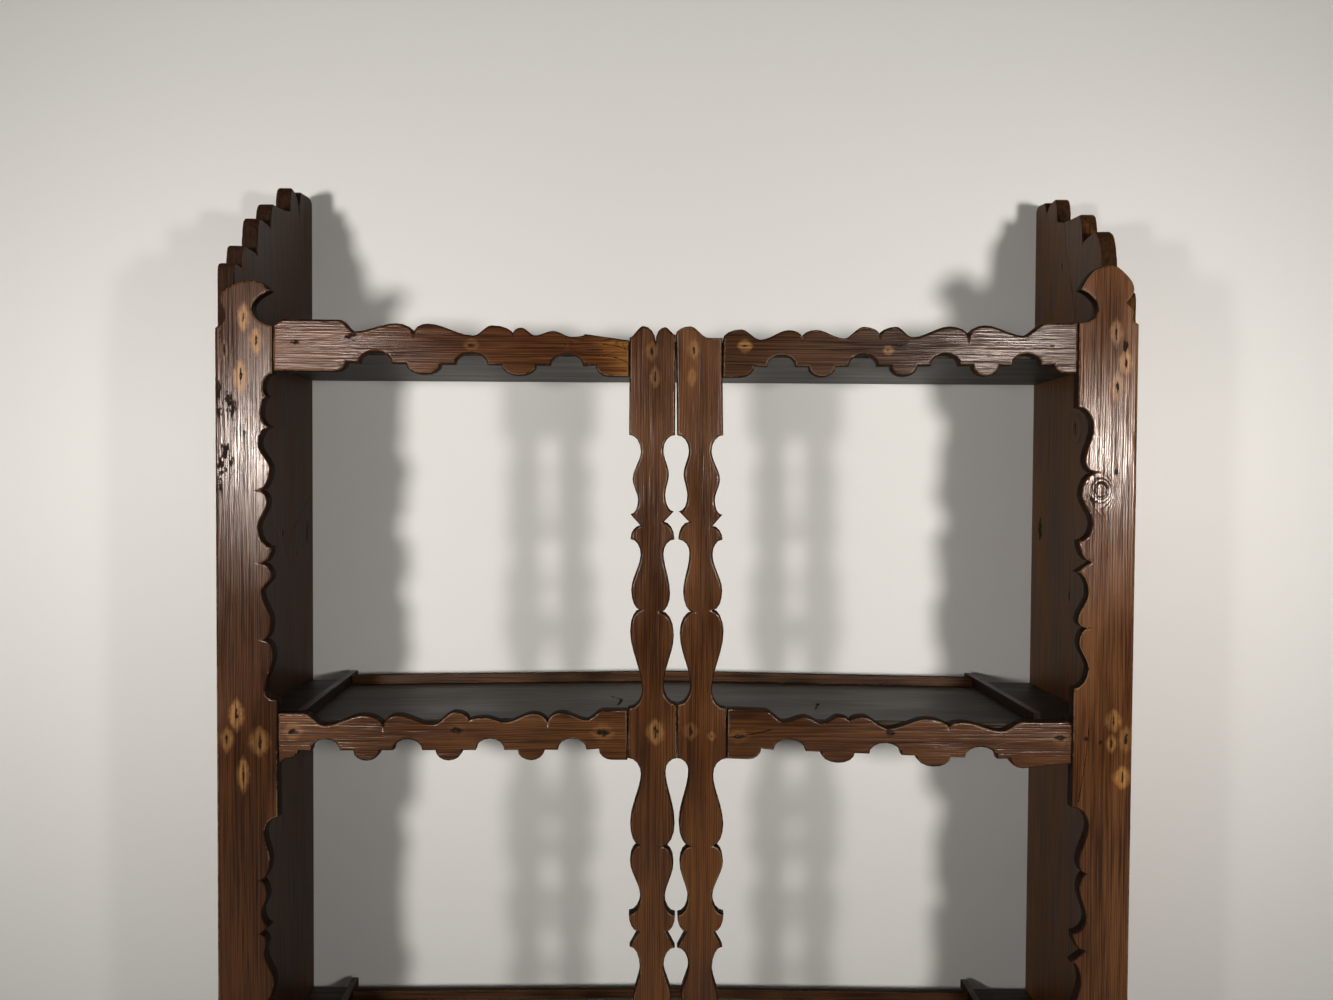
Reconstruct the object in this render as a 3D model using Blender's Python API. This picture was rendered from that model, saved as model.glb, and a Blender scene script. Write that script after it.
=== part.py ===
"""A rustic open plate cabinet in dark stained pine.

Two side boards with a stepped, raked top carry four shelves in housings. A face frame is nailed to the
front: two stiles with hooked tops, a pair of flat balusters in the middle, and a fretwork rail on the
front edge of each half shelf. Low strips on the shelves stop the plates from sliding back or sideways.

Metres, +Z up. X runs to the right, the front faces -Y, and the origin is on the floor, at the middle of
the cabinet's width and depth.
"""
import math

import bmesh
import bpy
from mathutils import Vector

MM = 0.001

# Driving sizes
CABINET_WIDTH = 0.960
SIDE_DEPTH = 0.335
SIDE_THICKNESS = 0.018
SIDE_PROUD = 0.003
FACE_THICKNESS = 0.018
LEFT_STILE_WIDTH = 0.060
RIGHT_STILE_WIDTH = 0.063
LEFT_STILE_SPREAD = 0.004
BALUSTER_WIDTH = 0.052
BALUSTER_TAPER = 0.072
BALUSTERS_OFFSET = 0.002
SHELF_THICKNESS = 0.016
SHELF_PITCH = 0.403
SHELF_FALL = 0.010
LOWEST_SHELF = 0.205
HOUSING_DEPTH = 0.006
BACK_BOARD_WIDTH = 0.092
STRIP_WIDTH = 0.009
STRIP_HEIGHT = 0.012
BACK_STRIP_INSET = 0.042
LEFT_STRIP_INSET = 0.065
LEFT_STRIP_SPLAY = 0.016
RIGHT_STRIP_INSET = 0.076
UPPER_SHELF_BOW = 0.007
LOWER_SHELF_BOW = 0.004
FIT = 0.0003

# Shelves from the floor up
SHELVES = ("bottom", "lower", "upper", "top")

# How finely the curves are drawn
QUARTER_STEPS = 4
OGEE_STEPS = 6
FLOW_STEPS = 4
BOW_STEPS = 16

# An edge runs level through a round mark and turns a corner at a sharp one
ROUND = "round"
SHARP = "sharp"

# Edges of the fretted boards, in millimetres. A bay is cut upright or upturned, by turns from the top.
# A place given twice is a corner on one side of it only.
# Balusters: distance below the bay's upper corner, depth of the cut, on the edge by the rails and on
# the edge between the two balusters
OUTER_UPRIGHT = [
    (0, 0, SHARP), (17, 13, ROUND), (46, 4, ROUND), (68, 10, ROUND), (83, 2, SHARP), (95, 13, SHARP),
    (109, 2, ROUND), (109, 2, SHARP), (125, 13, ROUND), (162, 3, ROUND), (183, 13, SHARP),
    (205, 2, ROUND), (267, 15, ROUND), (286, 0, SHARP), (289, 0, SHARP)]
INNER_UPRIGHT = [
    (0, 1, SHARP), (16, 14, ROUND), (41, 8, ROUND), (63, 12, ROUND), (80, 3, SHARP), (91, 14, SHARP),
    (109, 2, ROUND), (109, 2, SHARP), (124, 14, ROUND), (165, 7, ROUND), (185, 17, SHARP),
    (209, 3, ROUND), (262, 14, ROUND), (282, 0, SHARP), (289, 0, SHARP)]
OUTER_UPTURNED = [
    (0, 0, SHARP), (17, 14, ROUND), (69, 3, ROUND), (92, 13, SHARP), (109, 3, ROUND), (146, 14, ROUND),
    (165, 2, SHARP), (165, 2, ROUND), (184, 12, SHARP), (200, 3, SHARP), (222, 14, ROUND),
    (257, 7, ROUND), (274, 13, ROUND), (289, 0, SHARP)]
INNER_UPTURNED = [
    (0, 0, SHARP), (14, 12, ROUND), (69, 2, ROUND), (93, 14, SHARP), (111, 3, ROUND), (148, 12, ROUND),
    (166, 1, SHARP), (166, 1, ROUND), (184, 10, SHARP), (201, 1, SHARP), (220, 13, ROUND),
    (252, 5, ROUND), (272, 12, ROUND), (289, 0, SHARP)]
# Stiles: distance below the bay's upper corner, depth of the cut
LEFT_STILE_UPRIGHT = [
    (0, 0, SHARP), (14, 10, ROUND), (23, 5, SHARP), (41, 12, ROUND), (55, 1, SHARP), (72, 14, ROUND),
    (98, 2, ROUND), (121, 14, SHARP), (134, 5, ROUND), (160, 15, ROUND), (180, 1, SHARP),
    (180, 1, ROUND), (197, 12, SHARP), (211, 1, ROUND), (227, 12, ROUND), (258, 2, ROUND),
    (277, 10, SHARP), (293, 0, ROUND), (330, 9, ROUND), (340, -LEFT_STILE_SPREAD / MM, SHARP)]
LEFT_STILE_UPTURNED = [
    (0, -LEFT_STILE_SPREAD / MM, SHARP), (17, 10, ROUND), (46, 4, ROUND), (67, 15, SHARP),
    (83, 7, ROUND), (101, 13, ROUND), (115, 5, SHARP), (124, 15, SHARP), (133, 8, ROUND),
    (145, 10, ROUND), (174, 0, ROUND), (198, 13, SHARP), (214, 3, ROUND), (238, 12, ROUND),
    (256, 1, SHARP), (268, 8, ROUND), (279, 0, SHARP)]
RIGHT_STILE_UPRIGHT = [
    (0, 0, SHARP), (20, 16, ROUND), (55, 8, ROUND), (68, 19, SHARP), (91, 5, ROUND), (121, 17, ROUND),
    (139, 3, SHARP), (139, 3, ROUND), (161, 17, SHARP), (172, 1, SHARP), (194, 14, ROUND),
    (222, 3, ROUND), (231, 14, SHARP), (246, 5, ROUND), (273, 15, ROUND), (294, 0, SHARP)]
RIGHT_STILE_UPTURNED = [
    (0, 0, SHARP), (20, 18, ROUND), (58, 8, ROUND), (71, 17, SHARP), (87, 9, ROUND), (119, 17, ROUND),
    (134, 3, SHARP), (134, 3, ROUND), (153, 17, SHARP), (165, 2, SHARP), (187, 12, ROUND),
    (216, 5, ROUND), (232, 15, SHARP), (248, 6, ROUND), (274, 14, ROUND), (293, 0, SHARP)]
# Uncut blocks: below the shelf over an upright bay, above the shelf under it, below the shelf over an
# upturned bay, above the shelf under it
BALUSTER_BLOCKS = (82, 32, 18, 96)
LEFT_STILE_BLOCKS = (21, 42, 82, 42)
RIGHT_STILE_BLOCKS = (51, 58, 68, 42)
# Hooked tops of the stiles, from the outer shoulder to the inner one: distance in from the outer edge
# of a board HOOK_WIDTH wide, height over the underside of the top shelf
HOOK_WIDTH = 60
LEFT_HOOK = [
    (0, 26, SHARP), (8, 34, ROUND), (9, 43, ROUND), (4, 55, ROUND), (10, 66, ROUND), (23, 73, ROUND),
    (37, 76, ROUND), (49, 73, ROUND), (58, 65, SHARP), (45, 57, ROUND), (39, 48, ROUND),
    (43, 37, ROUND), (52, 31, ROUND), (60, 29, SHARP)]
RIGHT_HOOK = [
    (0, 36, SHARP), (6, 41, ROUND), (5, 50, ROUND), (12, 58, SHARP), (5, 70, ROUND), (9, 83, ROUND),
    (25, 97, ROUND), (42, 94, ROUND), (52, 84, ROUND), (59, 71, SHARP), (51, 67, ROUND),
    (43, 58, ROUND), (42, 48, ROUND), (50, 39, ROUND), (60, 37, SHARP)]
# Crests on the ends of the balusters: distance across a board CREST_WIDTH wide, height over the shoulder
CREST_WIDTH = 48
LEFT_CREST = [(0, 0, ROUND), (14, 12, ROUND), (27, -4, SHARP), (37, 11, ROUND), (48, 3, ROUND)]
RIGHT_CREST = [(0, 3, SHARP), (15, 12, ROUND), (34, 0, ROUND), (48, 0, SHARP)]
CREST_SHOULDER = 19
FOOT_SHOULDER = 26
# Rails, upper edge: distance from the stile, height over the flats of the lower edge
TOP_LEFT_RAIL = [
    (0, 39, SHARP), (10, 45, SHARP), (69, 45, ROUND), (84, 33, ROUND), (127, 42, ROUND),
    (145, 31, SHARP), (160, 42, ROUND), (207, 30, ROUND), (226, 41, ROUND), (248, 32, SHARP),
    (257, 39, ROUND), (271, 31, ROUND), (290, 36, ROUND), (309, 30, ROUND), (323, 33, SHARP),
    (369, 27, SHARP)]
TOP_RIGHT_RAIL = [
    (0, 45, SHARP), (34, 44, ROUND), (57, 31, ROUND), (97, 42, ROUND), (114, 30, SHARP),
    (134, 41, ROUND), (172, 30, ROUND), (189, 41, ROUND), (206, 32, SHARP), (223, 41, ROUND),
    (243, 29, ROUND), (272, 38, ROUND), (287, 30, SHARP), (301, 38, ROUND), (330, 28, ROUND),
    (350, 39, ROUND), (369, 29, SHARP)]
UPPER_LEFT_RAIL = [
    (0, 40, SHARP), (27, 40, ROUND), (48, 27, ROUND), (88, 38, ROUND), (109, 26, SHARP),
    (124, 38, ROUND), (161, 28, ROUND), (184, 41, ROUND), (199, 32, SHARP), (216, 35, ROUND),
    (237, 30, ROUND), (266, 39, ROUND), (281, 29, SHARP), (296, 40, ROUND), (322, 32, ROUND),
    (339, 42, ROUND), (365, 42, SHARP)]
UPPER_RIGHT_RAIL = [
    (0, 40, SHARP), (5, 44, SHARP), (51, 41, ROUND), (74, 30, ROUND), (114, 38, ROUND),
    (130, 32, SHARP), (152, 40, ROUND), (194, 28, ROUND), (219, 40, ROUND), (234, 34, SHARP),
    (246, 39, ROUND), (262, 31, ROUND), (281, 37, ROUND), (304, 31, ROUND), (322, 42, ROUND),
    (363, 42, SHARP)]
# Rails, lower edge: arches and lobes set out between a block at each end
ARCH_HEIGHT = 12
LOBE_DROP = 11
FLAT_LENGTH = 13
BLOCK_ROUND = 14
STILE_BLOCK_DROP = 9
BALUSTER_BLOCK_DROP = 11
# First arch from the stile, last arch from the baluster, least pitch of the arches, half the width of
# an arch and of a lobe, and the block's drop where it meets the stile
TOP_LEFT_ARCHES = (106, 65, 97, 17, 18, 9)
TOP_RIGHT_ARCHES = (53, 61, 84, 15, 14, 9)
UPPER_LEFT_ARCHES = (49, 58, 84, 15, 14, 14)
UPPER_RIGHT_ARCHES = (95, 66, 97, 17, 18, 2)
# Raked tops of the sides: distance back along a board CREST_DEPTH deep, height over the underside of
# the top shelf
CREST_DEPTH = 335
LEFT_SIDE_CREST = [
    (0, 84, SHARP), (6, 96, ROUND), (30, 94, SHARP), (38, 119, ROUND), (86, 117, SHARP),
    (98, 158, ROUND), (140, 155, SHARP), (156, 184, ROUND), (226, 190, SHARP), (238, 218, ROUND),
    (270, 193, SHARP), (282, 221, ROUND), (318, 222, ROUND), (335, 214, SHARP)]
RIGHT_SIDE_CREST = [
    (0, 62, SHARP), (6, 72, ROUND), (30, 71, SHARP), (38, 96, ROUND), (62, 95, SHARP),
    (88, 148, ROUND), (134, 142, SHARP), (148, 177, ROUND), (240, 186, SHARP), (252, 213, ROUND),
    (286, 197, SHARP), (297, 217, ROUND), (322, 218, ROUND), (335, 211, SHARP)]
# Each shelf's rails: upper edge and arches on the left and on the right, then how far the flats lie
# over the shelf's underside, at the stile and at the baluster of each rail
TOP_LEFT = (TOP_LEFT_RAIL, TOP_LEFT_ARCHES)
TOP_RIGHT = (TOP_RIGHT_RAIL, TOP_RIGHT_ARCHES)
UPPER_LEFT = (UPPER_LEFT_RAIL, UPPER_LEFT_ARCHES)
UPPER_RIGHT = (UPPER_RIGHT_RAIL, UPPER_RIGHT_ARCHES)
RAILS = {
    "top": (TOP_LEFT, TOP_RIGHT, (-9, -11), (-7, -11)),
    "upper": (UPPER_LEFT, UPPER_RIGHT, (-12, -9), (-20, -7)),
    "lower": (TOP_LEFT, TOP_RIGHT, (-10, -10), (-10, -10)),
    "bottom": (UPPER_LEFT, UPPER_RIGHT, (-10, -10), (-10, -10)),
}

# Finishes: base colour and roughness
FACE_PINE = ((0.100, 0.046, 0.026), 0.38)
SIDE_PINE = ((0.042, 0.022, 0.015), 0.48)
SHELF_PINE = ((0.050, 0.040, 0.033), 0.60)
STRIP_PINE = ((0.060, 0.034, 0.024), 0.50)

# Places worked out from the driving sizes
FRONT = -(FACE_THICKNESS + SIDE_DEPTH) / 2
SIDE_FRONT = FRONT + FACE_THICKNESS + FIT
BACK = FRONT + FACE_THICKNESS + SIDE_DEPTH
SIDE_FACE = CABINET_WIDTH / 2 + SIDE_PROUD - SIDE_THICKNESS
SHELF_HALF_LENGTH = SIDE_FACE + HOUSING_DEPTH - FIT
BOARD_JOINT = BACK - BACK_BOARD_WIDTH
BALUSTERS_LEFT = BALUSTERS_OFFSET - BALUSTER_WIDTH
BALUSTERS_RIGHT = BALUSTERS_OFFSET + BALUSTER_WIDTH
UNDERSIDES = [LOWEST_SHELF + SHELF_PITCH * number for number in range(len(SHELVES))]
TOP_UNDERSIDE = UNDERSIDES[-1]
BOWS = {"upper": UPPER_SHELF_BOW, "lower": LOWER_SHELF_BOW}


def stretch(start, end):
    """The points of an edge after one mark, up to and with the next."""
    (along_start, height_start, turn_start), (along_end, height_end, turn_end) = start, end
    if height_start == height_end or turn_start == turn_end == SHARP:
        return [(along_end, height_end)]
    steps = OGEE_STEPS if turn_start == turn_end else QUARTER_STEPS
    points = []
    for step in range(1, steps + 1):
        share = step / steps
        angle = share * math.pi / 2
        if turn_start == turn_end:
            along, rise = share, share * share * (3 - 2 * share)
        elif turn_start == SHARP:
            along, rise = 1 - math.cos(angle), math.sin(angle)
        else:
            along, rise = math.sin(angle), 1 - math.cos(angle)
        points.append((along_start + along * (along_end - along_start),
                       height_start + rise * (height_end - height_start)))
    return points


def drawn_edge(marks):
    """All the points of an edge that is given by its marks."""
    points = [marks[0][:2]]
    for start, end in zip(marks, marks[1:]):
        points.extend(stretch(start, end))
    return points


def flowing_edge(marks):
    """A curve through the marks that bends smoothly at each round one, for a form that turns back."""
    spots = [Vector(mark[:2]) for mark in marks]
    slopes = []
    for number, mark in enumerate(marks):
        before = spots[max(number - 1, 0)]
        after = spots[min(number + 1, len(spots) - 1)]
        slopes.append(None if mark[2] == SHARP else (after - before) / 2)
    points = [tuple(spots[0])]
    for number in range(len(spots) - 1):
        start, end = spots[number], spots[number + 1]
        leave = slopes[number] or end - start
        arrive = slopes[number + 1] or end - start
        for step in range(1, FLOW_STEPS + 1):
            t = step / FLOW_STEPS
            spot = (start * (2 * t ** 3 - 3 * t ** 2 + 1) + leave * (t ** 3 - 2 * t ** 2 + t)
                    + end * (3 * t ** 2 - 2 * t ** 3) + arrive * (t ** 3 - t ** 2))
            points.append(tuple(spot))
    return points


def without_repeats(points):
    """The outline with each point that lies on the one before it left out."""
    kept = []
    for point in points:
        if not kept or math.dist(point, kept[-1]) > FIT:
            kept.append(point)
    return kept


def add_part(name, bm, finish, location):
    """Make one named sub-part from a mesh, with its own material, at its place in the cabinet."""
    bmesh.ops.recalc_face_normals(bm, faces=bm.faces)
    mesh = bpy.data.meshes.new(name)
    bm.to_mesh(mesh)
    bm.free()
    colour, roughness = finish
    material = bpy.data.materials.new(name + "_pine")
    material.use_nodes = True
    shader = material.node_tree.nodes["Principled BSDF"]
    shader.inputs["Base Color"].default_value = (*colour, 1.0)
    shader.inputs["Roughness"].default_value = roughness
    shader.inputs["Metallic"].default_value = 0.0
    mesh.materials.append(material)
    part = bpy.data.objects.new(name, mesh)
    part.location = location
    part.parent = cabinet
    bpy.context.collection.objects.link(part)
    return part


def sawn_board(name, outline, along_axis, thickness, finish, location):
    """A board sawn to an outline, drawn along X or Y and up Z, and given its thickness."""
    bm = bmesh.new()
    if along_axis == "X":
        corners = [bm.verts.new((along, 0, height)) for along, height in without_repeats(outline)]
        depth = Vector((0, thickness, 0))
    else:
        corners = [bm.verts.new((0, along, height)) for along, height in without_repeats(outline)]
        depth = Vector((thickness, 0, 0))
    face = bm.faces.new(corners)
    grown = bmesh.ops.extrude_face_region(bm, geom=[face])
    moved = [item for item in grown["geom"] if isinstance(item, bmesh.types.BMVert)]
    bmesh.ops.translate(bm, verts=moved, vec=depth)
    return add_part(name, bm, finish, location)


def lie(shelf, x, y):
    """Lift of a shelf at a place on it: all fall to the back, and two have sprung up in the middle."""
    share = min(abs(x) / SHELF_HALF_LENGTH, 1.0)
    fall = SHELF_FALL * (y - SIDE_FRONT) / (BACK - SIDE_FRONT)
    return BOWS.get(shelf, 0.0) * (1 - share * share) ** 2 - fall


def shelf_board(name, low, high, finish, shelf, splay=0.0):
    """A plain board between two corners, laid on its shelf's slope and bow, its origin at low's height.

    The splay is how far its back end stands off to the left.
    """
    bm = bmesh.new()
    bmesh.ops.create_cube(bm, size=1.0)
    for vert in bm.verts:
        for axis in range(3):
            vert.co[axis] = high[axis] if vert.co[axis] > 0 else low[axis]
    if shelf in BOWS:
        for step in range(1, BOW_STEPS):
            cut = SHELF_HALF_LENGTH * (2 * step / BOW_STEPS - 1)
            if low[0] + FIT < cut < high[0] - FIT:
                bmesh.ops.bisect_plane(bm, geom=[*bm.verts, *bm.edges, *bm.faces],
                                       plane_co=(cut, 0, 0), plane_no=(1, 0, 0))
    for vert in bm.verts:
        vert.co.x -= splay * (vert.co.y - SIDE_FRONT) / (BACK - SIDE_FRONT)
        vert.co.z += lie(shelf, vert.co.x, vert.co.y) - low[2]
    return add_part(name, bm, finish, (0, 0, low[2]))


def bays(blocks):
    """Upper and lower corner of the cut in each bay, from the top down, and whether it is upturned."""
    over_upright, under_upright, over_upturned, under_upturned = blocks
    found = []
    for number in range(len(SHELVES) - 1):
        shelf_over = UNDERSIDES[-1 - number]
        shelf_under = UNDERSIDES[-2 - number]
        if number % 2 == 0:
            found.append((shelf_over - over_upright * MM, shelf_under + under_upright * MM, False))
        else:
            found.append((shelf_over - over_upturned * MM, shelf_under + under_upturned * MM, True))
    return found


def fretted_edge(upright, upturned, blocks):
    """Height and depth of cut down a board's edge, through every bay."""
    points = []
    for upper, lower, turned in bays(blocks):
        marks = upturned if turned else upright
        reach = (upper - lower) / marks[-1][0]
        points.extend((upper - along * reach, depth * MM) for along, depth in drawn_edge(marks))
    return points


def make_side(side):
    """A side board: raked top, straight front and back edges, and a housing for each shelf."""
    name, crest = ("side_left", LEFT_SIDE_CREST) if side < 0 else ("side_right", RIGHT_SIDE_CREST)
    depth = SIDE_DEPTH - FIT
    outline = [(0, 0)]
    for along, height in drawn_edge(crest):
        outline.append((along / CREST_DEPTH * depth, TOP_UNDERSIDE + height * MM))
    outline.append((depth, 0))
    inner_face = side * SIDE_FACE
    left_face = inner_face - SIDE_THICKNESS if side < 0 else inner_face
    board = sawn_board(name, outline, "Y", SIDE_THICKNESS, SIDE_PINE, (left_face, SIDE_FRONT, 0))
    for shelf, underside in zip(SHELVES, UNDERSIDES):
        cutter_mesh = bmesh.new()
        bmesh.ops.create_cube(cutter_mesh, size=1.0)
        size = (2 * HOUSING_DEPTH, 2 * SIDE_DEPTH, SHELF_THICKNESS + 2 * FIT)
        bmesh.ops.scale(cutter_mesh, vec=size, verts=cutter_mesh.verts)
        for vert in cutter_mesh.verts:
            vert.co.z += lie(shelf, SHELF_HALF_LENGTH, vert.co.y)
        place = (inner_face, 0, underside + SHELF_THICKNESS / 2)
        cutter = add_part(f"{name}_{shelf}_housing_cut", cutter_mesh, SIDE_PINE, place)
        cutter.hide_render = True
        cutter.display_type = "WIRE"
        housing = board.modifiers.new(f"{shelf}_housing", "BOOLEAN")
        housing.operation = "DIFFERENCE"
        housing.solver = "EXACT"
        housing.object = cutter


def make_stile(side):
    """A face board on the edge of a side: hooked top, fretted inner edge, straight outer edge."""
    if side < 0:
        name, width, hook = "stile_left", LEFT_STILE_WIDTH, LEFT_HOOK
        edge = fretted_edge(LEFT_STILE_UPRIGHT, LEFT_STILE_UPTURNED, LEFT_STILE_BLOCKS)
    else:
        name, width, hook = "stile_right", RIGHT_STILE_WIDTH, RIGHT_HOOK
        edge = fretted_edge(RIGHT_STILE_UPRIGHT, RIGHT_STILE_UPTURNED, RIGHT_STILE_BLOCKS)
    outline = [(0, 0)]
    for across, height in flowing_edge(hook):
        outline.append((across / HOOK_WIDTH * width, TOP_UNDERSIDE + height * MM))
    outline += [(width - depth, height) for height, depth in edge]
    outline.append((width, 0))
    outline = [(-side * across, height) for across, height in outline]
    sawn_board(name, outline, "X", FACE_THICKNESS, FACE_PINE, (side * CABINET_WIDTH / 2, FRONT, 0))


def narrowed(x, z):
    """Where a place across the balusters lies: above the upper shelf they narrow from the right."""
    above = max(0.0, z - UNDERSIDES[-2]) / SHELF_PITCH
    return BALUSTERS_LEFT + (x - BALUSTERS_LEFT) * (1 - BALUSTER_TAPER * above)


def make_baluster(side):
    """A flat baluster: fretted on both edges and with a crest on each end."""
    outer = fretted_edge(OUTER_UPRIGHT, OUTER_UPTURNED, BALUSTER_BLOCKS)
    inner = fretted_edge(INNER_UPRIGHT, INNER_UPTURNED, BALUSTER_BLOCKS)
    if side < 0:
        name, crest, left_edge, right_edge = "baluster_left", LEFT_CREST, outer, inner
        left, right = BALUSTERS_LEFT, BALUSTERS_OFFSET - FIT / 2
    else:
        name, crest, left_edge, right_edge = "baluster_right", RIGHT_CREST, inner, outer
        left, right = BALUSTERS_OFFSET + FIT / 2, BALUSTERS_RIGHT
    shoulder = TOP_UNDERSIDE + CREST_SHOULDER * MM
    foot = LOWEST_SHELF - FOOT_SHOULDER * MM
    across_crest = [(left + across / CREST_WIDTH * (right - left), height * MM)
                    for across, height in drawn_edge(crest)]
    outline = [(x, shoulder + height) for x, height in across_crest]
    outline += [(right - depth, z) for z, depth in right_edge]
    outline += [(x, foot - height) for x, height in reversed(across_crest)]
    outline += [(left + depth, z) for z, depth in reversed(left_edge)]
    outline = [(narrowed(x, z) - left, z - foot) for x, z in outline]
    sawn_board(name, outline, "X", FACE_THICKNESS, FACE_PINE, (left, FRONT, foot))


def arched_edge(length, arches):
    """Lower edge of a rail: a block at each end, and arches with a lobe between each two."""
    first, last, least_pitch, arch_half, lobe_half, stile_drop = arches
    room = length - first - last
    gaps = max(1, int(room / least_pitch))
    block = arch_half + FLAT_LENGTH
    block_corner = first - block - BLOCK_ROUND
    marks = [(0, -stile_drop, SHARP), (block_corner, -STILE_BLOCK_DROP, SHARP),
             (block_corner, -STILE_BLOCK_DROP, ROUND), (first - block, 1, SHARP)]
    for number in range(gaps + 1):
        arch = first + number * room / gaps
        marks += [(arch - arch_half, 0, SHARP), (arch, ARCH_HEIGHT, ROUND), (arch + arch_half, 0, SHARP)]
        if number < gaps:
            lobe = arch + room / gaps / 2
            marks += [(lobe - lobe_half, 0, SHARP), (lobe, -LOBE_DROP, ROUND), (lobe + lobe_half, 0, SHARP)]
    marks += [(length - last + block, 1, SHARP),
              (length - last + block + BLOCK_ROUND, -BALUSTER_BLOCK_DROP, ROUND),
              (length, -BALUSTER_BLOCK_DROP, SHARP)]
    return drawn_edge(marks)


def make_rail(shelf, underside, side):
    """A fretwork rail on the front edge of half a shelf, between a stile and a baluster."""
    left, right, left_seat, right_seat = RAILS[shelf]
    upper_marks, arches = left if side < 0 else right
    at_stile, at_baluster = left_seat if side < 0 else right_seat
    under_upright_bay = (SHELVES.index(shelf) - len(SHELVES)) % 2 == 0
    if side < 0:
        spread = LEFT_STILE_SPREAD if under_upright_bay else 0.0
        start = CABINET_WIDTH / 2 - LEFT_STILE_WIDTH - spread - FIT
        length = start + BALUSTERS_LEFT - FIT
    else:
        start = CABINET_WIDTH / 2 - RIGHT_STILE_WIDTH - FIT
        lowest = underside + (at_baluster - BALUSTER_BLOCK_DROP) * MM
        length = start - narrowed(BALUSTERS_RIGHT, lowest) - FIT
    stretched = length / upper_marks[-1][0]
    outline = [(along * stretched, height * MM) for along, height in drawn_edge(upper_marks)]
    lower = [(along * MM, height * MM) for along, height in arched_edge(length / MM, arches)]
    outline += reversed(lower)
    slope = (at_baluster - at_stile) * MM / length
    outline = [(-side * along, height + slope * along) for along, height in outline]
    name = f"{shelf}_rail_left" if side < 0 else f"{shelf}_rail_right"
    sawn_board(name, outline, "X", FACE_THICKNESS, FACE_PINE,
               (side * start, FRONT, underside + at_stile * MM))


def make_shelf(shelf, underside):
    """A shelf of two boards, edge to edge, with its ends in the housings of the sides."""
    top = underside + SHELF_THICKNESS
    shelf_board(f"{shelf}_shelf_front", (-SHELF_HALF_LENGTH, SIDE_FRONT, underside),
                (SHELF_HALF_LENGTH, BOARD_JOINT - FIT, top), SHELF_PINE, shelf)
    shelf_board(f"{shelf}_shelf_back", (-SHELF_HALF_LENGTH, BOARD_JOINT, underside),
                (SHELF_HALF_LENGTH, BACK, top), SHELF_PINE, shelf)


def make_strips(shelf, underside):
    """Plate strips on a shelf: one along the back, between one near each side."""
    low = underside + SHELF_THICKNESS + FIT
    high = low + STRIP_HEIGHT
    left = -SIDE_FACE + LEFT_STRIP_INSET
    right = SIDE_FACE - RIGHT_STRIP_INSET
    shelf_board(f"{shelf}_strip_left", (left, SIDE_FRONT, low), (left + STRIP_WIDTH, BACK, high),
                STRIP_PINE, shelf, LEFT_STRIP_SPLAY)
    shelf_board(f"{shelf}_strip_right", (right - STRIP_WIDTH, SIDE_FRONT, low), (right, BACK, high),
                STRIP_PINE, shelf)
    back = BACK - BACK_STRIP_INSET
    front = back - STRIP_WIDTH
    splayed = LEFT_STRIP_SPLAY * (front - SIDE_FRONT) / (BACK - SIDE_FRONT)
    shelf_board(f"{shelf}_strip_back", (left + STRIP_WIDTH - splayed + FIT, front, low),
                (right - STRIP_WIDTH - FIT, back, high), STRIP_PINE, shelf)


for leftover in list(bpy.data.objects):
    bpy.data.objects.remove(leftover, do_unlink=True)

cabinet = bpy.data.objects.new("plate_cabinet", None)
bpy.context.collection.objects.link(cabinet)

for side in (-1, 1):
    make_side(side)
    make_stile(side)
    make_baluster(side)
for shelf, underside in zip(SHELVES, UNDERSIDES):
    make_shelf(shelf, underside)
    make_strips(shelf, underside)
    for side in (-1, 1):
        make_rail(shelf, underside, side)
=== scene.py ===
# %% [markdown]
# A rustic plate cabinet in dark stained pine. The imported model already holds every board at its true
# size and place. This lesson loads it, sets up a small studio, rounds and wears the boards as a
# century of hands did, stains them, and adds the nails and scars.

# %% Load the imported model
import math
from collections import namedtuple

import bpy
from mathutils import Matrix, Vector


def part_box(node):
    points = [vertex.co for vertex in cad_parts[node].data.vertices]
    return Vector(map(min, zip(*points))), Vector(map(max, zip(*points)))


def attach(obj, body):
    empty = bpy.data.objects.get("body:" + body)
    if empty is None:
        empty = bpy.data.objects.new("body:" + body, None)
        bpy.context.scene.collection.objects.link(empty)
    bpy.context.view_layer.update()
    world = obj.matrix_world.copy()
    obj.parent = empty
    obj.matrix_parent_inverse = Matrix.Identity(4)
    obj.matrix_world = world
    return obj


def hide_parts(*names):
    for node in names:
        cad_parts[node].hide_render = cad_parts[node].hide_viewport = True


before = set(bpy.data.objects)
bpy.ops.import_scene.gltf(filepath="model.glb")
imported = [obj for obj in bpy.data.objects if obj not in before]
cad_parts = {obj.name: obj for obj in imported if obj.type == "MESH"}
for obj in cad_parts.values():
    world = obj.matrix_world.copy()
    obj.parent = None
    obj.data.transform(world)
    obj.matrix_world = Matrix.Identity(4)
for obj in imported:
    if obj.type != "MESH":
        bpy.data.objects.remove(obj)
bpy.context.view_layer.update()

MM = 0.001
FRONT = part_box("stile_left")[0].y
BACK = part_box("side_left")[1].y
print("boards loaded:", len(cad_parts), "front face at", round(FRONT, 4))

# %% [markdown]
# The camera stands a step back from the upper half of the cabinet, a little above the middle shelf.
# Three angles and a place are enough to describe it. Building the matrix from its own three axes keeps
# the small roll exact, which turning by hand would not.

# %% Camera
PHOTO_WIDTH = 1333
FOCAL_PIXELS = 1400
SENSOR_WIDTH = 36.0
EYE = Vector((-0.020, -1.6343, 1.3124))
YAW = math.radians(0.365)
PITCH = math.radians(1.89)
ROLL = math.radians(-0.33)

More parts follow.
